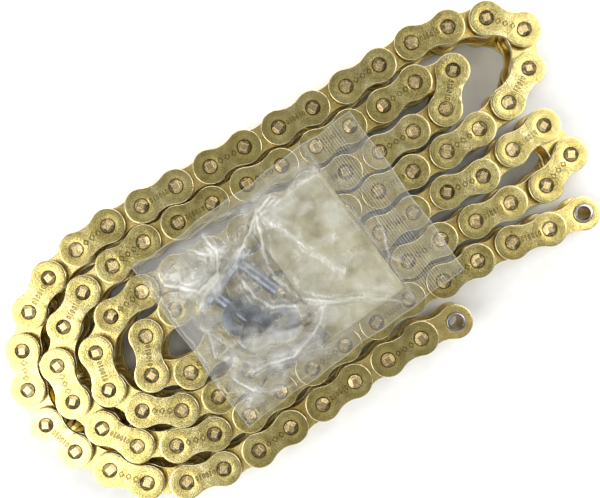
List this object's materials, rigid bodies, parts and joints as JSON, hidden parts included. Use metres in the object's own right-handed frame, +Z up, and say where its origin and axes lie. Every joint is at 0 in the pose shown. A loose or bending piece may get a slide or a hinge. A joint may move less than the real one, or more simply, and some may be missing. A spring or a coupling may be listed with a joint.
{
  "type": "motorcycle drive chain",
  "caption": "Sealed roller chain with gold plated side plates, lying on its side in a folded coil, with free ends that bend and a connecting link in a film bag.",
  "frame": {"origin": "centre of the coil's bounding box, on the surface that the pin ends stand on", "axes": "+X along the rows of the coil, towards both free ends; +Z up, along every pin"},
  "size_m": [0.2612, 0.123, 0.0381],
  "materials": {
    "plate_outer": "gold zinc plated, satin",
    "plate_inner": "gold zinc plated, satin",
    "pin": "plated, staked ends",
    "bush": "ground steel",
    "roller": "gold zinc plated, smooth",
    "ring": "matte black nitrile",
    "kit_steel": "bare oiled steel",
    "film": "clear creased polyethylene film",
    "sachet": "translucent film with pale grease"
  },
  "bodies": {
    "coil": {"coil_outer_plates_upper": "plate_outer", "coil_outer_plates_lower": "plate_outer", "coil_inner_plates_upper": "plate_inner", "coil_inner_plates_lower": "plate_inner", "coil_pins": "pin", "coil_bushes": "bush", "coil_rollers": "roller", "coil_rings": "ring"},
    "link_7": {"link_7_plates": "plate_outer", "link_7_pins": "pin"},
    "link_5": {"link_5_plates": "plate_outer", "link_5_pins": "pin"},
    "link_3": {"link_3_plates": "plate_outer", "link_3_pins": "pin"},
    "link_1": {"link_1_plates": "plate_outer", "link_1_pins": "pin"},
    "link_109": {"link_109_plates": "plate_outer", "link_109_pins": "pin"},
    "link_111": {"link_111_plates": "plate_outer", "link_111_pins": "pin"},
    "link_6": {"link_6_plates": "plate_inner", "link_6_bushes": "bush", "link_6_rings": "ring"},
    "link_6_roller_a": {"link_6_roller_a": "roller"},
    "link_6_roller_b": {"link_6_roller_b": "roller"},
    "link_4": {"link_4_plates": "plate_inner", "link_4_bushes": "bush", "link_4_rings": "ring"},
    "link_4_roller_a": {"link_4_roller_a": "roller"},
    "link_4_roller_b": {"link_4_roller_b": "roller"},
    "link_2": {"link_2_plates": "plate_inner", "link_2_bushes": "bush", "link_2_rings": "ring"},
    "link_2_roller_a": {"link_2_roller_a": "roller"},
    "link_2_roller_b": {"link_2_roller_b": "roller"},
    "link_0": {"link_0_plates": "plate_inner", "link_0_bushes": "bush", "link_0_rings": "ring"},
    "link_0_roller_a": {"link_0_roller_a": "roller"},
    "link_0_roller_b": {"link_0_roller_b": "roller"},
    "link_110": {"link_110_plates": "plate_inner", "link_110_bushes": "bush", "link_110_rings": "ring"},
    "link_110_roller_a": {"link_110_roller_a": "roller"},
    "link_110_roller_b": {"link_110_roller_b": "roller"},
    "link_112": {"link_112_plates": "plate_inner", "link_112_bushes": "bush", "link_112_rings": "ring"},
    "link_112_roller_a": {"link_112_roller_a": "roller"},
    "link_112_roller_b": {"link_112_roller_b": "roller"},
    "kit": {"kit_bag": "film", "kit_sachet": "sachet", "kit_link_plate": "kit_steel", "kit_link_pins": "kit_steel", "kit_side_plate": "kit_steel", "kit_ring": "ring"}
  },
  "joints": [
    {"name": "pin_8_hinge", "type": "hinge", "parent": "coil", "child": "link_7", "pos_m": [-0.08683, -0.05038, 0.0113], "axis": [0, 0, -1], "range_deg": [0, 60]},
    {"name": "pin_7_hinge", "type": "hinge", "parent": "link_7", "child": "link_6", "pos_m": [-0.07125, -0.05347, 0.0113], "axis": [0, 0, 1], "range_deg": [-60, 0]},
    {"name": "pin_6_hinge", "type": "hinge", "parent": "link_6", "child": "link_5", "pos_m": [-0.05541, -0.05445, 0.0113], "axis": [0, 0, -1], "range_deg": [0, 60]},
    {"name": "pin_5_hinge", "type": "hinge", "parent": "link_5", "child": "link_4", "pos_m": [-0.03959, -0.05313, 0.0113], "axis": [0, 0, 1], "range_deg": [-60, 0.5]},
    {"name": "pin_4_hinge", "type": "hinge", "parent": "link_4", "child": "link_3", "pos_m": [-0.02377, -0.05181, 0.0113], "axis": [0, 0, -1], "range_deg": [-1, 75]},
    {"name": "pin_3_hinge", "type": "hinge", "parent": "link_3", "child": "link_2", "pos_m": [-0.00795, -0.05047, 0.0113], "axis": [0, 0, 1], "range_deg": [-75, 2]},
    {"name": "pin_2_hinge", "type": "hinge", "parent": "link_2", "child": "link_1", "pos_m": [0.00792, -0.04996, 0.0113], "axis": [0, 0, -1], "range_deg": [-4, 110]},
    {"name": "pin_1_hinge", "type": "hinge", "parent": "link_1", "child": "link_0", "pos_m": [0.02378, -0.04949, 0.0113], "axis": [0, 0, 1], "range_deg": [-110, 10]},
    {"name": "pin_109_hinge", "type": "hinge", "parent": "coil", "child": "link_109", "pos_m": [0.04349, -0.03445, 0.0113], "axis": [0, 0, -1], "range_deg": [-2, 45]},
    {"name": "pin_110_hinge", "type": "hinge", "parent": "link_109", "child": "link_110", "pos_m": [0.05936, -0.03445, 0.0113], "axis": [0, 0, 1], "range_deg": [-90, 5]},
    {"name": "pin_111_hinge", "type": "hinge", "parent": "link_110", "child": "link_111", "pos_m": [0.0752, -0.03543, 0.0113], "axis": [0, 0, -1], "range_deg": [-9, 110]},
    {"name": "pin_112_hinge", "type": "hinge", "parent": "link_111", "child": "link_112", "pos_m": [0.09078, -0.0385, 0.0113], "axis": [0, 0, 1], "range_deg": [-110, 18]},
    {"name": "link_6_roller_a_spin", "type": "hinge", "parent": "link_6", "child": "link_6_roller_a", "pos_m": [-0.05541, -0.05445, 0.0113], "axis": [0, 0, 1], "continuous": true},
    {"name": "link_6_roller_b_spin", "type": "hinge", "parent": "link_6", "child": "link_6_roller_b", "pos_m": [-0.07125, -0.05347, 0.0113], "axis": [0, 0, 1], "continuous": true},
    {"name": "link_4_roller_a_spin", "type": "hinge", "parent": "link_4", "child": "link_4_roller_a", "pos_m": [-0.02377, -0.05181, 0.0113], "axis": [0, 0, 1], "continuous": true},
    {"name": "link_4_roller_b_spin", "type": "hinge", "parent": "link_4", "child": "link_4_roller_b", "pos_m": [-0.03959, -0.05313, 0.0113], "axis": [0, 0, 1], "continuous": true},
    {"name": "link_2_roller_a_spin", "type": "hinge", "parent": "link_2", "child": "link_2_roller_a", "pos_m": [0.00792, -0.04996, 0.0113], "axis": [0, 0, 1], "continuous": true},
    {"name": "link_2_roller_b_spin", "type": "hinge", "parent": "link_2", "child": "link_2_roller_b", "pos_m": [-0.00795, -0.05047, 0.0113], "axis": [0, 0, 1], "continuous": true},
    {"name": "link_0_roller_a_spin", "type": "hinge", "parent": "link_0", "child": "link_0_roller_a", "pos_m": [0.03954, -0.05146, 0.0113], "axis": [0, 0, 1], "continuous": true},
    {"name": "link_0_roller_b_spin", "type": "hinge", "parent": "link_0", "child": "link_0_roller_b", "pos_m": [0.02378, -0.04949, 0.0113], "axis": [0, 0, 1], "continuous": true},
    {"name": "link_110_roller_a_spin", "type": "hinge", "parent": "link_110", "child": "link_110_roller_a", "pos_m": [0.05936, -0.03445, 0.0113], "axis": [0, 0, 1], "continuous": true},
    {"name": "link_110_roller_b_spin", "type": "hinge", "parent": "link_110", "child": "link_110_roller_b", "pos_m": [0.0752, -0.03543, 0.0113], "axis": [0, 0, 1], "continuous": true},
    {"name": "link_112_roller_a_spin", "type": "hinge", "parent": "link_112", "child": "link_112_roller_a", "pos_m": [0.09078, -0.0385, 0.0113], "axis": [0, 0, 1], "continuous": true},
    {"name": "link_112_roller_b_spin", "type": "hinge", "parent": "link_112", "child": "link_112_roller_b", "pos_m": [0.10654, -0.04045, 0.0113], "axis": [0, 0, 1], "continuous": true},
    {"name": "kit_lift", "type": "slide", "parent": "coil", "child": "kit", "axis": [0, 0, 1], "range_m": [0, 0.06]}
  ]
}
